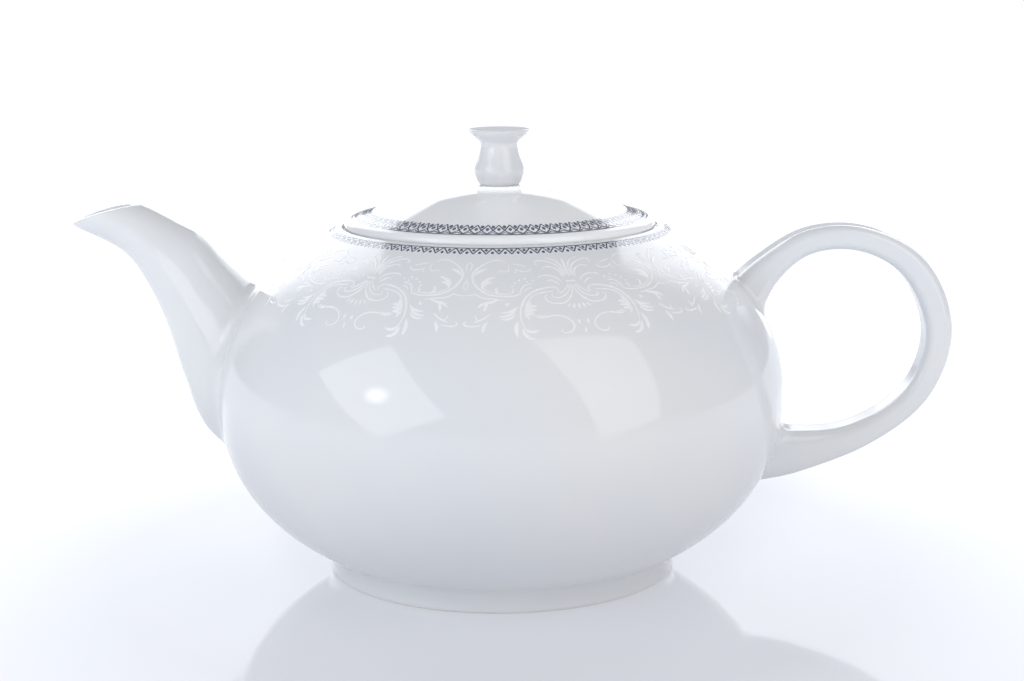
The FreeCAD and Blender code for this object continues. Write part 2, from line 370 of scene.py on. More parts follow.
def running_length(points):
    """Distance along a line from its first point to each of its points."""
    return np.concatenate([[0.0], np.cumsum(np.linalg.norm(np.diff(points, axis=0), axis=1))])


def smooth_line(points, count):
    """Evenly spaced points on a smooth curve through the given ones."""
    points = np.array(points, float)
    knots = running_length(points)
    slopes = np.gradient(points, knots, axis=0)
    places = np.linspace(0.0, knots[-1], count)
    cell = np.clip(np.searchsorted(knots, places, side="right") - 1, 0, len(points) - 2)
    width = (knots[cell + 1] - knots[cell])[:, None]
    share = (places - knots[cell])[:, None] / width
    cube, square = share ** 3, share ** 2
    start = (2 * cube - 3 * square + 1) * points[cell] + (cube - 2 * square + share) * width * slopes[cell]
    return start + (3 * square - 2 * cube) * points[cell + 1] + (cube - square) * width * slopes[cell + 1]


def resample(line, count):
    """The same line with its points evenly spaced."""
    steps = running_length(line)
    places = np.linspace(0.0, steps[-1], count)
    return np.stack([np.interp(places, steps, line[:, axis]) for axis in range(3)], axis=1)


def above_bowl(points):
    """Distance of points outside the bowl's wall, measured level."""
    return np.hypot(points[..., 0], points[..., 1]) - bowl_radius(points[..., 2])


def to_wall(line, depth):
    """The part of a line before it goes depth below the bowl's outside."""
    gap = above_bowl(line) + depth
    inside_bowl = np.nonzero(gap < 0.0)[0]
    if len(inside_bowl) == 0:
        return line
    last = max(1, inside_bowl[0])
    share = gap[last - 1] / (gap[last - 1] - gap[last])
    hit = line[last - 1] + (line[last] - line[last - 1]) * share
    return np.vstack([line[:last], hit])


def lute(line, outward, reach, count):
    """A line that meets the bowl, cut short, and the fillet that takes it on to the bowl's wall."""
    sunk = 0.06
    hit = line[-1]
    lengths = running_length(line)
    place = max(lengths[-1] - reach, lengths[-1] * 0.5)
    start = np.array([np.interp(place, lengths, line[:, axis]) for axis in range(3)])
    step = 0.01
    rise = (bowl_radius(hit[2] + step) - bowl_radius(hit[2] - step)) / (2 * step)
    normal = np.array([hit[0], hit[1], 0.0]) / math.hypot(hit[0], hit[1]) - np.array([0.0, 0.0, rise])
    normal /= np.linalg.norm(normal)
    along = outward - normal * (outward @ normal)
    end = hit + along / np.linalg.norm(along) * reach
    end[:2] *= (bowl_radius(end[2]) - sunk) / math.hypot(end[0], end[1])
    return np.vstack([line[lengths < place], start]), bent(start, hit, end, count)


def grid_object(name, rows, closed_ends):
    """Tube from rows of points in millimetres; its ends close on each other or on caps."""
    mesh = bmesh.new()
    rings = [[mesh.verts.new(Vector(point) * MM) for point in row] for row in rows]
    pairs = list(zip(rings, rings[1:]))
    if closed_ends == "loop":
        pairs.append((rings[-1], rings[0]))
    for first, second in pairs:
        bridge(mesh, first, second)
    if closed_ends == "caps":
        for ring in (rings[0], rings[-1]):
            middle = sum((vert.co for vert in ring), Vector()) / len(ring)
            middle -= Vector((middle.x, middle.y, 0.0)).normalized() * MM
            centre = mesh.verts.new(middle)
            for step in range(len(ring)):
                mesh.faces.new([ring[step], ring[(step + 1) % len(ring)], centre])
    return make_object(name, mesh, sharp=60.0)


spout_turns = 2.0 * math.pi * np.arange(SPOUT_AROUND) / SPOUT_AROUND


def spout_lines(inset):
    """Lines down the spout from mouth to root, one for each place around it, and their middles."""
    rows = [(-(BOWL_RADIUS + low[0]), BELLY + low[1], -(BOWL_RADIUS + high[0]), BELLY + high[1], half)
            for low, high, half in SPOUT_STATIONS]
    stations = smooth_line(rows, SPOUT_ALONG)[::-1]
    lines = np.zeros((SPOUT_AROUND, SPOUT_ALONG, 3))
    middles = np.zeros((SPOUT_ALONG, 3))
    for index, (low_x, low_z, high_x, high_z, half) in enumerate(stations):
        middle = np.array([(low_x + high_x) / 2.0, 0.0, (low_z + high_z) / 2.0])
        tall = np.array([(high_x - low_x) / 2.0, 0.0, (high_z - low_z) / 2.0])
        tall *= 1.0 - inset / np.linalg.norm(tall)
        side = np.array([0.0, half - inset, 0.0])
        lines[:, index] = middle + np.outer(np.cos(spout_turns), tall) + np.outer(np.sin(spout_turns), side)
        middles[index] = middle
    return lines, middles


outer_lines, spout_middles = spout_lines(0.0)
inner_lines, _ = spout_lines(SPOUT_WALL)
outer_columns = []
inner_columns = []
for index in range(SPOUT_AROUND):
    kept = to_wall(outer_lines[index], 0.0)
    outward = kept[-1] - spout_middles[len(kept) - 1]
    shaft, fillet = lute(kept, outward, SPOUT_FILLET, 13)
    outer_columns.append(np.vstack([resample(shaft, 60), fillet[1:]]))
    inner_columns.append(resample(to_wall(inner_lines[index], SPOUT_SINK), 40))
outer_columns = np.array(outer_columns)
inner_columns = np.array(inner_columns)
mouth_low, mouth_high = outer_lines[SPOUT_AROUND // 2, 0], outer_lines[0, 0]
mouth_normal = np.cross(mouth_high - mouth_low, (0.0, 1.0, 0.0))
mouth_normal /= np.linalg.norm(mouth_normal)
lip_share = ((1.0 - np.cos(spout_turns)) / 2.0) ** 3
rim_rise = RIM_RISE + LIP_RISE * lip_share
for columns in (outer_columns, inner_columns):
    fade = np.exp(-np.arange(columns.shape[1]) / MOUTH_FADE)
    lift = MOUTH_RISE * np.sin(spout_turns)[:, None] ** 2 * fade
    columns += lift[:, :, None] * mouth_normal
    columns[:, :, 0] += LIP_BACK * lip_share[:, None] * fade
lip = outer_columns[:, :1] - inner_columns[:, :1]
lip /= np.linalg.norm(lip, axis=2, keepdims=True)
inner_fade = np.exp(-np.arange(inner_columns.shape[1]) / MOUTH_FADE)
inner_columns -= LIP_THICKER * lip * inner_fade[None, :, None]
rim_centre = (outer_columns[:, 0] + inner_columns[:, 0]) / 2.0
rim_reach = (outer_columns[:, 0] - inner_columns[:, 0]) / 2.0
rim_rows = []
for turn in np.linspace(0.0, math.pi, 12)[1:-1]:
    crown = np.outer(rim_rise * math.sin(turn), mouth_normal)
    rim_rows.append(rim_centre + rim_reach * math.cos(turn) + crown)
spout_rows = [outer_columns[:, row] for row in range(outer_columns.shape[1] - 1, -1, -1)]
spout_rows += rim_rows
spout_rows += [inner_columns[:, row] for row in range(inner_columns.shape[1])]
spout = grid_object("spout_porcelain", spout_rows, "loop")
spout.data.materials.append(white_glaze)
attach(spout, "pot")
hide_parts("spout")

# Strainer: the pierced plate in the wall behind the spout that holds the leaves back.
# Its holes are punched while the clay is soft, and it is glazed with the inside.
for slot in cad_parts["strainer"].material_slots:
    slot.material = white_glaze

# Handle: an ear-shaped strap of solid porcelain, flat with rounded edges.
# It thickens at both roots, which are luted to the bowl with a fillet of slip.
HANDLE_LINE = [(-14.5, 23.5), (-5.8, 35.1), (6.9, 44.0), (21.0, 45.2), (36.7, 38.1),
               (46.6, 16.0), (41.6, -0.4), (24.0, -14.5), (4.0, -19.7), (-13.0, -20.4)]
HANDLE_ALONG = 400
HANDLE_MIDDLE = HANDLE_ALONG // 2
HANDLE_THICK = 7.1
HANDLE_WIDE = 12.5
TOP_ROOT, TOP_SWELL = 15.0, 5.4
LOW_ROOT, LOW_SWELL = 24.0, 9.8
ROOT_WIDER = 4.0
BEND_PLACE, BEND_REACH, BEND_SWELL = 0.46, 20.0, 1.1
STRAP_EDGE = (0.62, 0.5)
HANDLE_FILLET = 1.6
INNER_FILLET = 3.4
handle_path = smooth_line([(BOWL_RADIUS + out, 0.0, BELLY + up) for out, up in HANDLE_LINE], HANDLE_ALONG)
handle_lengths = running_length(handle_path)
handle_headings = np.gradient(handle_path, handle_lengths, axis=0)
corner_turn = np.radians(np.linspace(0.0, 90.0, 9))
corner_a = 1.0 - STRAP_EDGE[0] * (1.0 - np.cos(corner_turn))
corner_b = 1.0 - STRAP_EDGE[1] * (1.0 - np.sin(corner_turn))
quarter_a = np.concatenate([np.ones(4), corner_a, [0.3, 0.15, 0.0]])
quarter_b = np.concatenate([[0.0, 0.2, 0.36, 0.46], corner_b, np.ones(3)])
half_a = np.concatenate([quarter_a, -quarter_a[-2:0:-1]])
half_b = np.concatenate([quarter_b, quarter_b[-2:0:-1]])
section_a = np.concatenate([half_a, -half_a])
section_b = np.concatenate([half_b, -half_b])
HANDLE_AROUND = len(section_a)
handle_lines = np.zeros((HANDLE_AROUND, HANDLE_ALONG, 3))
for index, along in enumerate(handle_lengths):
    top_share = math.exp(-(along / TOP_ROOT) ** 2)
    low_share = math.exp(-((handle_lengths[-1] - along) / LOW_ROOT) ** 2)
    bend_share = math.exp(-((along - BEND_PLACE * handle_lengths[-1]) / BEND_REACH) ** 2)
    thick = HANDLE_THICK + TOP_SWELL * top_share + LOW_SWELL * low_share + BEND_SWELL * bend_share
    wide = HANDLE_WIDE + ROOT_WIDER * (top_share + low_share)
    heading = handle_headings[index] / np.linalg.norm(handle_headings[index])
    across = np.cross(heading, (0.0, 1.0, 0.0))
    handle_lines[:, index] = (handle_path[index] + np.outer(section_a, across * thick / 2.0)
                              + np.outer(section_b, (0.0, wide / 2.0, 0.0)))
handle_columns = []
for index in range(HANDLE_AROUND):
    halves = []
    reach = HANDLE_FILLET + INNER_FILLET * max(0.0, -section_a[index]) ** 2
    for line, path in ((handle_lines[index][HANDLE_MIDDLE::-1], handle_path[HANDLE_MIDDLE::-1]),
                       (handle_lines[index][HANDLE_MIDDLE:], handle_path[HANDLE_MIDDLE:])):
        kept = to_wall(line, 0.0)
        shaft, fillet = lute(kept, kept[-1] - path[len(kept) - 1], reach, 9)
        halves.append(np.vstack([resample(shaft, 70), fillet[1:]]))
    handle_columns.append(np.vstack([halves[0][:0:-1], halves[1]]))
handle_columns = np.array(handle_columns)
handle_rows = [handle_columns[:, row] for row in range(handle_columns.shape[1])]
handle = grid_object("handle_porcelain", handle_rows, "caps")
handle.data.materials.append(white_glaze)
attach(handle, "pot")
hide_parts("handle")

# Lid cover: the pressed dome with a rounded bead at its edge.
# A small steam vent goes through its far side.
SEAT = bowl_top(MOUTH) - 1.8
BEAD = MOUTH - 0.7
COLLAR = (5.8, SEAT + 13.25)
BROW = (25.0, SEAT + 9.7)
BEAD_TOP = (BEAD - 1.9, SEAT + 3.9)
BEAD_FOOT = (BEAD - 1.0, SEAT)
HOLLOW = 36.3
HOLLOW_EDGE = 0.3
HOLLOW_SIDE = (HOLLOW, SEAT + 2.9)
HOLLOW_TOP = (0.0, SEAT + 10.05)
VENT_OUT = 27.0
VENT_RADIUS = 2.0
dome_points = [tuple(point) for point in np.linspace(BEAD_TOP, BROW, 25)[1:]]
dome_points += bow(BROW, COLLAR, -0.5, 24)
bead_points = bow(BEAD_TOP, BEAD_FOOT, 1.45, 16)
cover_outline = [(0.0, COLLAR[1])] + dome_points[::-1]
cover_outline += rounded(dome_points[0], BEAD_TOP, bead_points[0], 0.35, 4)
cover_outline += bead_points[:-1]
cover_outline += rounded(bead_points[-2], BEAD_FOOT, (HOLLOW, SEAT), 0.3, 4)
cover_outline += [(HOLLOW + HOLLOW_EDGE, SEAT), (HOLLOW, SEAT + HOLLOW_EDGE), HOLLOW_SIDE]
cover_outline += bow(HOLLOW_SIDE, HOLLOW_TOP, -1.0, 24)
lid_cover = turned("lid_cover_porcelain", cover_outline)
vent_cutter = rod("vent_cutter", (0.0, VENT_OUT, SEAT), (0, 0, 1),
                  (VENT_RADIUS, 0, 0), (0, VENT_RADIUS, 0), 20.0, 40)
cut_away(lid_cover, vent_cutter)
lid_cover.data.materials.append(white_glaze)
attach(lid_cover, "lid")
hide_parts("lid_cover")

# Lid skirt: the ring under the cover that drops into the mouth and keeps the lid in place.
# It is luted to the flat underside of the cover and glazed with it.
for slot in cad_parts["lid_skirt"].material_slots:
    slot.material = white_glaze

# Lid knob: a solid turned knob, a bulb with a waist and a flat round head.
# It is luted on the middle of the cover.
KNOB_LINE = [(6.3, 0.6), (6.75, 1.8), (7.2, 3.1), (7.35, 4.4), (7.1, 5.7), (6.65, 6.9), (6.15, 8.1),
             (5.8, 9.3), (5.55, 10.5), (5.42, 11.6), (5.6, 12.7), (6.85, 13.9), (8.25, 15.1), (8.93, 16.2)]
knob_side = [(*COLLAR, 0.0)] + [(radius, COLLAR[1] + height, 0.0) for radius, height in KNOB_LINE]
knob_side = [(radius, height) for radius, height, _ in smooth_line(knob_side, 96)]
KNOB_RIM = (8.6, COLLAR[1] + 16.55)
KNOB_CROWN = 0.25
knob_outline = [(0.0, COLLAR[1])] + knob_side
knob_outline += bow(knob_side[-1], KNOB_RIM, -0.12, 8)
knob_outline += [(KNOB_RIM[0] * (1.0 - share), KNOB_RIM[1] + KNOB_CROWN * (1.0 - (1.0 - share) ** 2))
                 for share in np.linspace(0.0, 1.0, 12)[1:]]
lid_knob = turned("lid_knob_porcelain", knob_outline, steps=128)
lid_knob.data.materials.append(white_glaze)
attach(lid_knob, "lid")
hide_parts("lid_knob")

# Shoulder lace: a printed border of hanging points with a dot in and between them.
# The slate-blue transfer is fired into the glaze just below the mouth.
SLOPE_COUNT = 500


def slope_table(outline):
    """Radius and height along an outline by the distance along it."""
    outline = np.array(outline, float)
    return running_length(outline), outline[:, 0], outline[:, 1]


def lay(table, turn, down, lift):
    """Point on a turned surface, by degrees round it, distance down it and lift off it."""
    steps, radii, heights = table
    radius, height = np.interp(down, steps, radii), np.interp(down, steps, heights)
    run = np.interp(down + 0.1, steps, radii) - np.interp(down - 0.1, steps, radii)
    rise = np.interp(down + 0.1, steps, heights) - np.interp(down - 0.1, steps, heights)
    length = math.hypot(run, rise)
    radius += -rise / length * lift
    height += run / length * lift
    angle = math.radians(turn)
    return np.array([radius * math.sin(angle), -radius * math.cos(angle), height])


ORNAMENT_SINK = 0.03


def stroke(mesh, table, points, width, lift, ends, per_span, crest_share):
    """Raised line through (degrees, distance) points, thinner towards both ends."""
    points = np.array(points, float)
    count = per_span * (len(points) - 1) + 1
    flat = smooth_line(np.column_stack([points, np.zeros(len(points))]), count)
    places = np.array([lay(table, turn, down, 0.0) for turn, down, _ in flat])
    forward = np.gradient(places, axis=0)
    rings = []
    for index, (turn, down, _) in enumerate(flat):
        up = lay(table, turn, down, 1.0) - places[index]
        side = np.cross(up, forward[index])
        side /= np.linalg.norm(side)
        share = index / (count - 1)
        half = width / 2.0 * (ends + (1.0 - ends) * math.sin(math.pi * share) ** 0.6)
        base = places[index] - up * ORNAMENT_SINK
        crest = places[index] + up * lift
        top = side * half * crest_share
        corners = (base - side * half, crest - top, crest + top, base + side * half)
        rings.append([mesh.verts.new(Vector(corner) * MM) for corner in corners])
    for first, second in zip(rings, rings[1:]):
        bridge(mesh, first, second)
    mesh.faces.new(rings[0])
    mesh.faces.new(rings[-1])


def dot(mesh, table, turn, down, half_wide, half_long, lift, sides=10):
    """Raised oval dot."""
    radius = np.interp(down, table[0], table[1])
    rows = []
    for share, height in ((1.0, -ORNAMENT_SINK), (0.85, lift)):
        row = []
        for step in range(sides):
            angle = 2.0 * math.pi * step / sides
            aside = turn + math.degrees(half_wide * share * math.cos(angle) / radius)
            along = down + half_long * share * math.sin(angle)
            row.append(mesh.verts.new(Vector(lay(table, aside, along, height)) * MM))
        rows.append(row)
    bridge(mesh, *rows)
    mesh.faces.new(rows[0])
    mesh.faces.new(rows[1])


def border(mesh, table, down, width, lift, sides=240):
    """Raised plain line all the way round."""
    rings = []
    for step in range(sides):
        turn = 360.0 * step / sides
        spots = ((-0.5, -ORNAMENT_SINK), (-0.4, lift), (0.4, lift), (0.5, -ORNAMENT_SINK))
        rings.append([mesh.verts.new(Vector(lay(table, turn, down + width * part, height)) * MM)
                      for part, height in spots])
    for step in range(sides):
        bridge(mesh, rings[step], rings[(step + 1) % sides])


# Repeats a motif by turning copies of it about Z.
repeat_group = bpy.data.node_groups.new("repeat_round", "GeometryNodeTree")
for label, kind in (("Geometry", "NodeSocketGeometry"), ("Repeats", "NodeSocketInt"),
                    ("First Turn", "NodeSocketFloat"), ("Step Turn", "NodeSocketFloat"),
                    ("Material", "NodeSocketMaterial")):
    repeat_group.interface.new_socket(name=label, in_out="INPUT", socket_type=kind)
repeat_group.interface.new_socket(name="Geometry", in_out="OUTPUT", socket_type="NodeSocketGeometry")
repeat_in = add_node(repeat_group, "NodeGroupInput")
repeat_out = add_node(repeat_group, "NodeGroupOutput")
repeat_points = add_node(repeat_group, "GeometryNodePoints")
repeat_index = add_node(repeat_group, "GeometryNodeInputIndex")
repeat_turn = add_node(repeat_group, "ShaderNodeMath", operation="MULTIPLY_ADD")
repeat_euler = add_node(repeat_group, "ShaderNodeCombineXYZ")
repeat_place = add_node(repeat_group, "GeometryNodeInstanceOnPoints")
repeat_real = add_node(repeat_group, "GeometryNodeRealizeInstances")
repeat_paint = add_node(repeat_group, "GeometryNodeSetMaterial")
for source, target in (
        (repeat_in.outputs["Repeats"], repeat_points.inputs["Count"]),
        (repeat_index.outputs["Index"], repeat_turn.inputs[0]),
        (repeat_in.outputs["Step Turn"], repeat_turn.inputs[1]),
        (repeat_in.outputs["First Turn"], repeat_turn.inputs[2]),
        (repeat_turn.outputs[0], repeat_euler.inputs["Z"]),
        (repeat_points.outputs[0], repeat_place.inputs["Points"]),
        (repeat_in.outputs["Geometry"], repeat_place.inputs["Instance"]),
        (repeat_euler.outputs[0], repeat_place.inputs["Rotation"]),
        (repeat_place.outputs[0], repeat_real.inputs[0]),
        (repeat_real.outputs[0], repeat_paint.inputs["Geometry"]),
        (repeat_in.outputs["Material"], repeat_paint.inputs["Material"]),
        (repeat_paint.outputs[0], repeat_out.inputs[0])):
    repeat_group.links.new(source, target)


def repeated(piece, repeats, first, step, material):
    """Turns a piece's mesh into copies of it round Z, as a plain mesh."""
    modifier = piece.modifiers.new("round", "NODES")
    modifier.node_group = repeat_group
    values = {"Repeats": repeats, "First Turn": math.radians(first), "Step Turn": math.radians(step),
              "Material": material}
    for item in repeat_group.interface.items_tree:
        if item.item_type == "SOCKET" and item.in_out == "INPUT" and item.name in values:
            modifier[item.identifier] = values[item.name]
    depsgraph = bpy.context.evaluated_depsgraph_get()
    data = bpy.data.meshes.new_from_object(piece.evaluated_get(depsgraph))
    piece.modifiers.clear()
    piece.data = data


def joined(name, pieces, material, sharp):
    """One object from several, whose objects are removed."""
    mesh = bmesh.new()
    for piece in pieces:
        mesh.from_mesh(piece.data)
        bpy.data.objects.remove(piece)
    made = make_object(name, mesh, sharp)
    made.data.materials.append(material)
    return made


ink_group, ink_place = finish_group("printed_ink")
ink_speckle = noise(ink_group, ink_place, 700.0, 3.0)
ink_tint = blend_colours(ink_group, ink_speckle, (0.02, 0.034, 0.085), (0.06, 0.085, 0.16))
ink_gloss = spread(ink_group, ink_speckle, 0.3, 0.7, 0.06, 0.12)
end_group(ink_group, ink_tint, ink_gloss, ink_speckle)
slate_print = new_material("slate_print", ink_group, 2.3, 0.3, 0.00003)

LACE_START = 48.6
SHOULDER_REPEATS = 90
shoulder_pitch = 360.0 / SHOULDER_REPEATS
shoulder_radii = np.linspace(LACE_START, 78.0, SLOPE_COUNT)
shoulder_table = slope_table([(radius, bowl_top(radius)) for radius in shoulder_radii])
PRINT_LIFT = 0.035
PRINT_WIDTH = 0.46
PRINT_ENDS = 0.8
PRINT_CREST = 0.85
PRINT_SHARP = 22.0
motif = bmesh.new()
half_pitch = shoulder_pitch / 2.0
for side in (-half_pitch, half_pitch):
    stroke(motif, shoulder_table, [(side, 0.25), (side * 0.45, 1.65), (0.0, 3.0)],
           PRINT_WIDTH, PRINT_LIFT, PRINT_ENDS, 3, PRINT_CREST)
dot(motif, shoulder_table, 0.0, 1.2, 0.48, 0.65, PRINT_LIFT)
dot(motif, shoulder_table, half_pitch, 2.35, 0.48, 0.65, PRINT_LIFT)
shoulder_points = make_object("shoulder_points", motif)
repeated(shoulder_points, SHOULDER_REPEATS, 0.0, shoulder_pitch, slate_print)
line_mesh = bmesh.new()
border(line_mesh, shoulder_table, 0.25, 0.42, PRINT_LIFT)
shoulder_line = make_object("shoulder_line", line_mesh)
shoulder_lace = joined("shoulder_lace_print", [shoulder_points, shoulder_line], slate_print, PRINT_SHARP)
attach(shoulder_lace, "pot")

# Shoulder scrolls: acanthus scrolls and palmettes in raised white enamel, trailed on
# the glaze and fired matt, so that they show as white on white.
enamel_group, enamel_place = finish_group("raised_enamel")
enamel_grain = noise(enamel_group, enamel_place, 420.0, 3.0)
enamel_tint = blend_colours(enamel_group, enamel_grain, (0.90, 0.91, 0.93), (0.95, 0.95, 0.95))
enamel_gloss = spread(enamel_group, enamel_grain, 0.3, 0.7, 0.2, 0.3)
end_group(enamel_group, enamel_tint, enamel_gloss, enamel_grain)
white_enamel = new_material("white_enamel", enamel_group, 1.5, 0.4, 0.00004)

SCROLL_START = 52.3
SCROLL_STEP = 53.5
SCROLL_LIFT = 0.05
SCROLL_CREST = 0.55
SCROLL_SHARP = 50.0
scroll_radii = np.linspace(SCROLL_START, 79.0, SLOPE_COUNT)
scroll_table = slope_table([(radius, bowl_top(radius)) for radius in scroll_radii])
# One half repeat: lines and leaves through points, each with its width.
# A point is degrees from the palmette's axis and distance down the shoulder.
PALMETTE_LINES = [
    ([(0.7, 8.6), (0.8, 6.0), (1.4, 3.7), (2.5, 2.2), (3.7, 1.5), (4.9, 1.3)], 0.6),
    ([(1.2, 8.8), (1.4, 6.4), (2.2, 4.6), (3.3, 3.5), (4.6, 2.7), (6.0, 2.2), (7.4, 2.1), (8.3, 2.7),
      (8.3, 3.6), (7.8, 3.7)], 0.7),
    ([(1.7, 9.2), (2.1, 7.0), (3.0, 5.7), (4.1, 5.0), (5.3, 4.7), (6.3, 5.1), (6.5, 5.9)], 0.65),
    ([(2.6, 11.0), (3.1, 9.8), (4.0, 8.9), (5.3, 8.35), (6.9, 8.25), (8.1, 8.7), (8.5, 9.3)], 0.65),
    ([(3.2, 11.9), (3.8, 11.3), (4.5, 10.6), (5.5, 10.1), (6.2, 10.4)], 0.6),
    ([(-0.1, 10.7), (0.6, 10.75), (1.4, 10.7)], 0.85),
    ([(0.2, 12.2), (0.3, 13.6), (0.9, 15.6), (2.0, 17.3), (3.3, 18.4), (4.9, 18.6), (6.5, 18.2), (7.5, 17.1),
      (7.5, 15.9), (6.9, 15.5)], 0.65),
    ([(0.6, 12.0), (1.4, 14.4), (2.6, 15.8), (4.0, 16.6), (5.3, 16.5), (5.9, 15.7), (5.3, 15.2)], 0.55),
    ([(1.0, 11.8), (1.9, 13.4), (2.9, 14.5), (3.9, 15.2)], 0.5),
]
PALMETTE_LEAVES = [
    ([(0.0, 9.3), (0.0, 5.2), (0.0, 1.0)], 0.9),
    ([(0.0, 18.8), (0.0, 19.8), (0.0, 20.9)], 0.85),
    ([(0.9, 18.7), (1.2, 19.6), (1.4, 20.6)], 0.85),
    ([(1.9, 18.8), (2.3, 19.4), (2.8, 20.0)], 0.7),
]
SCROLL_LINES = [
    ([(4.5, 14.9), (3.9, 14.3), (4.3, 13.1), (5.8, 12.7), (7.8, 13.1), (9.6, 13.8), (11.1, 14.9),
      (12.3, 16.4), (13.0, 18.0), (13.5, 19.8), (13.7, 21.6), (13.65, 23.6), (13.3, 25.4), (12.8, 26.6)], 0.7),
    ([(5.4, 14.3), (7.2, 14.5), (9.0, 14.9), (10.4, 15.7), (11.4, 17.0), (12.2, 18.8), (12.6, 20.6),
      (12.7, 22.6)], 0.55),
    ([(10.8, 22.3), (9.8, 23.1), (8.5, 23.0), (7.4, 22.6), (5.8, 22.5), (4.2, 23.0), (3.0, 24.1), (2.4, 25.5),
      (2.6, 26.9), (3.5, 27.9), (4.6, 28.1), (5.3, 27.4), (5.0, 26.9)], 0.6),
    ([(8.1, 22.2), (9.0, 22.6), (10.2, 22.3)], 0.5),
    ([(13.3, 14.9), (15.1, 15.6), (17.9, 15.6), (20.4, 15.2), (22.4, 14.0), (23.7, 12.7), (24.6, 11.3),
      (25.2, 9.6), (25.5, 7.9), (25.2, 6.5), (24.6, 5.4), (23.6, 4.2), (22.6, 3.2), (21.4, 2.3), (20.1, 1.6),
      (18.6, 1.6), (17.2, 2.2), (16.6, 2.5)], 0.75),
    ([(15.4, 14.7), (18.4, 14.8), (20.4, 14.3), (21.8, 13.4), (22.8, 12.2)], 0.45),
    ([(17.2, 17.2), (18.8, 16.8), (20.4, 16.5), (22.0, 16.3), (23.3, 15.6), (24.2, 14.9), (25.2, 15.3),
      (26.7, 15.5)], 0.6),
    ([(26.75, 9.6), (26.3, 11.4), (26.4, 13.0), (26.75, 13.8)], 0.5),
    ([(26.75, 2.4), (26.1, 3.6), (26.0, 5.0), (26.4, 6.2)], 0.55),
    ([(10.1, 11.3), (11.4, 11.5), (12.4, 12.1), (12.9, 13.0), (13.2, 14.0), (13.5, 14.8)], 0.6),
    ([(10.3, 12.7), (11.2, 12.9), (11.9, 13.4), (12.2, 14.1)], 0.5),
    ([(10.7, 4.4), (12.1, 4.0), (13.3, 3.5), (14.6, 3.3)], 0.6),
    ([(9.8, 4.9), (10.0, 5.8), (11.0, 6.4), (12.6, 6.2), (13.9, 5.5), (14.1, 5.0)], 0.6),
    ([(13.6, 5.8), (14.1, 6.6), (14.2, 7.4)], 0.5),
    ([(15.8, 3.4), (15.7, 5.0), (16.1, 6.3), (17.2, 6.4), (18.2, 5.9), (18.6, 6.9)], 0.45),
    ([(20.4, 21.6), (21.5, 22.8), (22.8, 23.8), (23.8, 24.3)], 0.65),
    ([(22.4, 25.3), (24.2, 25.6), (25.6, 25.4), (26.1, 24.8), (25.6, 24.2)], 0.6),
    ([(23.8, 22.2), (23.5, 23.0), (23.1, 23.7)], 0.5),
]
SCROLL_LEAVES = [
    ([(12.4, 20.0), (11.3, 19.3), (9.8, 19.3)], 1.2),
    ([(12.6, 21.2), (11.4, 20.5), (10.0, 20.4)], 1.2),
    ([(12.6, 22.2), (11.6, 21.6), (10.5, 21.7)], 1.2),
    ([(12.4, 20.6), (11.7, 19.0), (11.2, 17.5)], 1.1),
    ([(12.6, 21.6), (12.2, 22.6), (11.9, 23.6)], 0.9),
    ([(14.1, 19.2), (15.4, 20.5), (16.7, 21.1), (18.0, 21.2)], 0.9),
    ([(14.7, 20.4), (16.1, 21.9), (17.3, 22.4), (18.6, 22.6)], 0.9),
    ([(14.9, 21.5), (15.7, 22.8), (16.7, 23.4), (18.2, 23.4)], 0.9),
    ([(14.4, 23.8), (14.9, 26.4), (14.6, 29.0)], 1.3),
    ([(13.5, 26.2), (13.1, 28.0), (12.2, 29.2), (10.9, 29.6)], 1.2),
    ([(13.2, 26.0), (12.2, 27.2), (11.2, 27.4), (10.0, 27.0)], 1.1),
    ([(25.1, 8.0), (24.2, 6.7), (23.2, 5.9), (21.7, 5.2)], 1.2),
    ([(22.5, 13.2), (22.5, 11.0), (21.3, 9.4), (19.4, 8.5)], 1.3),
    ([(22.5, 12.4), (21.5, 10.9), (20.1, 10.4)], 1.0),
    ([(18.3, 14.9), (19.0, 14.0), (19.2, 13.1), (18.6, 12.3)], 0.9),
    ([(15.1, 14.9), (15.2, 13.8), (14.8, 12.8)], 0.7),
    ([(18.6, 16.9), (20.4, 17.7), (22.2, 18.3), (23.4, 19.7)], 1.1),
    ([(21.2, 17.9), (21.5, 19.3), (21.8, 20.9)], 1.0),
    ([(16.2, 17.9), (16.6, 18.4), (17.0, 19.2)], 0.9),
    ([(21.0, 24.1), (21.7, 25.7), (21.9, 27.6)], 1.1),
]
SCROLL_DOTS = [
    (1.0, 24.7, 0.42, 0.85), (0.0, 27.4, 0.42, 0.95), (9.8, 10.0, 0.38, 0.45), (11.8, 9.3, 0.38, 0.45),
    (13.3, 9.9, 0.4, 0.45), (14.5, 10.9, 0.42, 0.5), (15.2, 12.2, 0.36, 0.4), (11.3, 10.6, 0.3, 0.35),
]


def scroll_half(name, mirror, lines, leaves, dots):
    """Half a repeat, drawn to one side of the palmette's axis."""
    mesh = bmesh.new()
    for group, ends, per_span in ((lines, 0.5, 4), (leaves, 0.1, 5)):
        for points, width in group:
            if mirror < 0.0 and points[0][0] == 0.0:
                continue
            turned_points = [(turn * mirror, down) for turn, down in points]
            stroke(mesh, scroll_table, turned_points, width, SCROLL_LIFT, ends, per_span, SCROLL_CREST)
    for turn, down, wide, long in dots:
        if mirror < 0.0 and turn == 0.0:
            continue
        dot(mesh, scroll_table, turn * mirror, down, wide, long, SCROLL_LIFT)
    return make_object(name, mesh)


ROOT_TURN = 15.0
ROOT_DOWN = 20.5


def beside_spout(strokes):
    """The strokes that clear the root of the spout."""
    return [(points, width) for points, width in strokes
            if all(down < ROOT_DOWN or turn > ROOT_TURN for turn, down in points)]


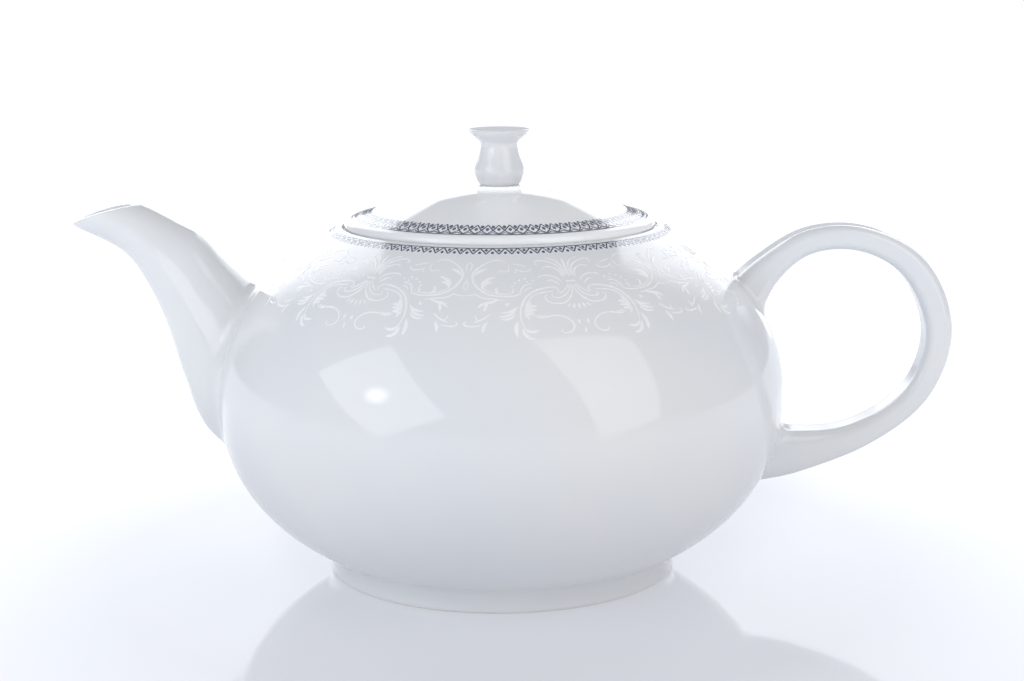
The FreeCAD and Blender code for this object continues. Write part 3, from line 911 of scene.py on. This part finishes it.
all_lines = PALMETTE_LINES + SCROLL_LINES
all_leaves = PALMETTE_LEAVES + SCROLL_LEAVES
SPOUT_AXIS = 271.5
scroll_pieces = []
for mirror in (1.0, -1.0):
    left_repeats, right_repeats = (3, 2) if mirror > 0.0 else (2, 3)
    whole = (all_lines, all_leaves, SCROLL_DOTS)
    at_spout = (beside_spout(all_lines), beside_spout(all_leaves), SCROLL_DOTS[2:])
    at_handle = (PALMETTE_LINES[:5], PALMETTE_LEAVES[:1], [])
    for strokes, repeats, first in (
            (whole, left_repeats, SPOUT_AXIS - left_repeats * SCROLL_STEP),
            (whole, right_repeats, SPOUT_AXIS + SCROLL_STEP),
            (at_spout, 1, SPOUT_AXIS),
            (at_handle, 1, SPOUT_AXIS + mirror * 3.0 * SCROLL_STEP)):
        half = scroll_half("scrolls", mirror, *strokes)
        repeated(half, repeats, first, SCROLL_STEP, white_enamel)
        scroll_pieces.append(half)
shoulder_scrolls = joined("shoulder_scrolls_enamel", scroll_pieces, white_enamel, SCROLL_SHARP)
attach(shoulder_scrolls, "pot")

# Lid lace: a printed border of crossing arches with a dot in and between them,
# on a plain line along the bead. It is the same slate transfer as on the shoulder.
LID_REPEATS = 80
lid_pitch = 360.0 / LID_REPEATS
lid_table = slope_table([BEAD_TOP] + dome_points)
LID_EDGE = 0.45


def lid_lay(points):
    """Points in pitches and distance from the lid's line, as degrees and distance on the dome."""
    return [(turn * lid_pitch, LID_EDGE + down) for turn, down in points]


motif = bmesh.new()
for side in (-1.0, 1.0):
    arch = lid_lay([(0.0, 6.6), (side * 0.27, 4.6), (side * 0.56, 2.6), (side * 1.0, 0.7)])
    stroke(motif, lid_table, arch, PRINT_WIDTH, PRINT_LIFT, PRINT_ENDS, 4, PRINT_CREST)
    loop = lid_lay([(0.0, 0.55), (side * 0.25, 0.85), (side * 0.5, 1.5)])
    stroke(motif, lid_table, loop, 0.42, PRINT_LIFT, PRINT_ENDS, 3, PRINT_CREST)
dot(motif, lid_table, 0.0, LID_EDGE + 3.6, 0.5, 1.05, PRINT_LIFT)
dot(motif, lid_table, lid_pitch / 2.0, LID_EDGE + 5.3, 0.5, 1.05, PRINT_LIFT)
lid_arches = make_object("lid_arches", motif)
repeated(lid_arches, LID_REPEATS, 0.0, lid_pitch, slate_print)
line_mesh = bmesh.new()
border(line_mesh, lid_table, LID_EDGE, 0.6, PRINT_LIFT)
lid_line = make_object("lid_line", line_mesh)
lid_lace = joined("lid_lace_print", [lid_arches, lid_line], slate_print, PRINT_SHARP)
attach(lid_lace, "lid")

# Table: a polished white top under the pot. It glows a little, as painted light: least near the pot, as
# painted shade
#  round it, more further off, and less in front of the pot than behind it. It mirrors only what stands near
#  its middle.
floor_mesh = bmesh.new()
bmesh.ops.create_grid(floor_mesh, x_segments=1, y_segments=1, size=6.0)
floor_data = bpy.data.meshes.new("table_top")
floor_mesh.to_mesh(floor_data)
floor_mesh.free()
floor = new_object("table_top", floor_data)
floor_material = bpy.data.materials.new("polished_white")
floor_material.use_nodes = True
floor_tree = floor_material.node_tree
floor_shader = floor_tree.nodes["Principled BSDF"]
floor_shader.inputs["Base Color"].default_value = (0.345, 0.352, 0.375, 1.0)
floor_shader.inputs["Roughness"].default_value = 0.06
floor_shader.inputs["IOR"].default_value = 1.25
floor_shader.inputs["Emission Color"].default_value = (0.915, 0.94, 1.0, 1.0)
floor_place = object_place(floor_tree)
floor_length = add_node(floor_tree, "ShaderNodeVectorMath", operation="LENGTH")
floor_tree.links.new(floor_place, floor_length.inputs[0])
floor_away = floor_length.outputs["Value"]
# Painted shade: the top's glow is weakest near the pot and dimmer in front of it, brighter further off.
painted_glow_rise = spread(floor_tree, floor_away, 0.12, 0.32, 0.0, 0.49)
painted_front_dimming = spread(floor_tree, axes_of(floor_tree, floor_place)["Y"], -0.12, 0.05, 0.7, 1.0)
floor_mirror = spread(floor_tree, floor_away, 0.16, 0.34, 0.21, 0.0)
painted_floor_glow = add_node(floor_tree, "ShaderNodeMath", operation="MULTIPLY_ADD")
floor_tree.links.new(painted_glow_rise, painted_floor_glow.inputs[0])
floor_tree.links.new(painted_front_dimming, painted_floor_glow.inputs[1])
painted_floor_glow.inputs[2].default_value = 0.4
floor_tree.links.new(painted_floor_glow.outputs[0], floor_shader.inputs["Emission Strength"])
floor_tree.links.new(floor_mirror, floor_shader.inputs["Specular IOR Level"])
floor_data.materials.append(floor_material)

# Light: a bright white wall behind the pot that ends half way up, a dimmer room in front,
# two tilted soft boxes in front, the left one with its lamp showing through, and a narrow
# lamp above that lights only the middle of the lid's cover.
ROOM_GLOW = 0.45
WALL_GLOW = 2.9
world = bpy.data.worlds.new("studio")
world.use_nodes = True
bpy.context.scene.world = world
world_tree = world.node_tree
room = world_tree.nodes["Background"]
room.inputs["Color"].default_value = (0.93, 0.953, 1.0, 1.0)


def combined(operation, first, second):
    """Sum or product of two values of the world."""
    node = add_node(world_tree, "ShaderNodeMath", operation=operation)
    world_tree.links.new(first, node.inputs[0])
    world_tree.links.new(second, node.inputs[1])
    return node.outputs[0]


room_axes = axes_of(world_tree, add_node(world_tree, "ShaderNodeTexCoord").outputs["Generated"])
wall_aside = add_node(world_tree, "ShaderNodeMath", operation="ABSOLUTE")
world_tree.links.new(room_axes["X"], wall_aside.inputs[0])
wall_side = wall_aside.outputs[0]
wall_back = spread(world_tree, room_axes["Y"], 0.42, 0.58, 0.0, 1.0)
top_slope = spread(world_tree, wall_side, 0.144, 1.0, 0.0, -1.18)
wall_low = spread(world_tree, combined("ADD", top_slope, room_axes["Z"]), 0.39, 0.43, 1.0, 0.0)
left_foot = spread(world_tree, room_axes["X"], -0.17, -0.11, 0.10, 0.0)
middle_foot = spread(world_tree, wall_side, 0.10, 0.16, -0.06, 0.0)
wall_foot = combined("ADD", combined("ADD", left_foot, middle_foot), room_axes["Z"])
wall_rise = spread(world_tree, wall_foot, 0.13, 0.25, 0.08, 1.0)
wall_width = spread(world_tree, wall_side, 0.47, 0.68, 1.0, 0.0)
wall_glow = wall_back
for limit in (wall_low, wall_rise, wall_width):
    wall_glow = combined("MULTIPLY", wall_glow, limit)
room_strength = spread(world_tree, wall_glow, 0.0, 1.0, ROOM_GLOW, WALL_GLOW)
world_tree.links.new(room_strength, room.inputs["Strength"])
bright = add_node(world_tree, "ShaderNodeBackground")
bright.inputs["Color"].default_value = (1.0, 1.0, 1.0, 1.0)
bright.inputs["Strength"].default_value = 1.0
path = add_node(world_tree, "ShaderNodeLightPath")
choose = add_node(world_tree, "ShaderNodeMixShader")
world_tree.links.new(path.outputs["Is Camera Ray"], choose.inputs["Fac"])
world_tree.links.new(room.outputs["Background"], choose.inputs[1])
world_tree.links.new(bright.outputs["Background"], choose.inputs[2])
world_tree.links.new(choose.outputs["Shader"], world_tree.nodes["World Output"].inputs["Surface"])


def soft_box(name, sights, strength, colour, lamp_gain):
    """Glowing panel between four sights, with its lamp on the fifth.

    A sight starts at a point of the bowl, in millimetres, and has a turn and a tilt in degrees.
    """
    away_from_bowl = 0.45
    places = []
    for x, y, z, turn, tilt in sights:
        a, e = math.radians(turn), math.radians(tilt)
        heading = Vector((math.sin(a) * math.cos(e), -math.cos(a) * math.cos(e), math.sin(e)))
        places.append(Vector((x, y, z)) * MM + heading * away_from_bowl)
    start = Vector(sights[4][:3]) * MM
    facing = (places[1] - places[0]).cross(places[2] - places[0])
    heading = places[4] - start
    lamp = start + heading * ((places[0] - start).dot(facing) / heading.dot(facing))
    data = bpy.data.meshes.new(name)
    data.from_pydata([tuple(place) for place in places[:4]], [], [(0, 1, 2, 3)])
    material = bpy.data.materials.new(name)
    material.use_nodes = True
    tree = material.node_tree
    tree.nodes.remove(tree.nodes["Principled BSDF"])
    glow = add_node(tree, "ShaderNodeEmission")
    glow.inputs["Color"].default_value = (*colour, 1.0)
    away = add_node(tree, "ShaderNodeVectorMath", operation="DISTANCE")
    tree.links.new(object_place(tree), away.inputs[0])
    away.inputs[1].default_value = lamp
    glare = spread(tree, away.outputs["Value"], 0.0, 0.045, lamp_gain, 0.0)
    total = add_node(tree, "ShaderNodeMath", operation="ADD")
    tree.links.new(glare, total.inputs[0])
    total.inputs[1].default_value = strength
    tree.links.new(total.outputs[0], glow.inputs["Strength"])
    tree.links.new(glow.outputs[0], tree.nodes["Material Output"].inputs["Surface"])
    data.materials.append(material)
    box = new_object(name, data)
    box.visible_camera = False


soft_box("left_soft_box", [(-49.2, -64.3, 73.2, -84.0, 24.0), (-28.6, -70.7, 81.4, -63.0, 50.0),
                           (-13.8, -82.8, 64.4, -21.0, 12.0), (-31.8, -78.8, 55.7, -48.0, -6.0),
                           (-33.1, -75.8, 68.7, -52.0, 21.0)], 2.2, (0.94, 0.97, 1.0), 9.0)
soft_box("right_soft_box", [(8.5, -74.6, 83.0, 21.0, 62.0), (34.6, -67.1, 82.5, 76.0, 49.0),
                            (42.9, -72.7, 61.7, 64.0, 2.0), (26.0, -80.9, 54.7, 38.0, -6.0),
                            (26.6, -77.9, 69.8, 42.0, 25.0)], 1.85, (1.0, 0.985, 0.965), 0.4)

lamp_data = bpy.data.lights.new("lid_lamp", "SPOT")
lamp_data.energy = 7.9
lamp_data.spot_size = math.radians(2.9)
lamp_data.spot_blend = 0.12
lamp_data.shadow_soft_size = 0.004
lamp_data.cycles.max_bounces = 0
lid_lamp = new_object("lid_lamp", lamp_data)
lid_lamp.location = (0.0, -0.087, 0.608)
lid_lamp.rotation_euler = (math.radians(10.03), 0.0, 0.0)

# Rim light: a low panel far behind the pot. It lights only the bowl with its ornament, the
# spout and the lid's cover, so that their outlines go white as the wall does.
rim_data = bpy.data.lights.new("rim_light", "AREA")
rim_data.shape = "RECTANGLE"
rim_data.size = 0.94
rim_data.size_y = 0.3
rim_data.energy = 1.24
rim_light = new_object("rim_light", rim_data)
rim_light.location = (0.0, 0.9, 0.15)
rim_light.rotation_euler = (math.radians(-90.0), 0.0, 0.0)
rim_light.visible_camera = False
rim_pieces = [body_bowl, spout, shoulder_lace, shoulder_scrolls, lid_cover]
for lamp, pieces in ((lid_lamp, [lid_cover]), (rim_light, rim_pieces)):
    lit = bpy.data.collections.new(lamp.name + "_lights")
    for piece in pieces:
        lit.objects.link(piece)
    lamp.light_linking.receiver_collection = lit

# Camera: at the photograph's viewing angle, in front of the pot and a little above it.
# It looks down a little, and its frame is turned by under half a degree.
camera_data = bpy.data.cameras.new("photo_camera")
camera_data.sensor_width = 36.0
camera_data.lens = 71.68
camera = new_object("photo_camera", camera_data)
camera.matrix_world = (Matrix.Translation((0.00342, -0.6055, 0.1832))
                       @ Matrix.Rotation(math.radians(79.33), 4, "X")
                       @ Matrix.Rotation(math.radians(-0.42), 4, "Z"))
bpy.context.scene.camera = camera
bpy.context.scene.view_settings.view_transform = "Standard"
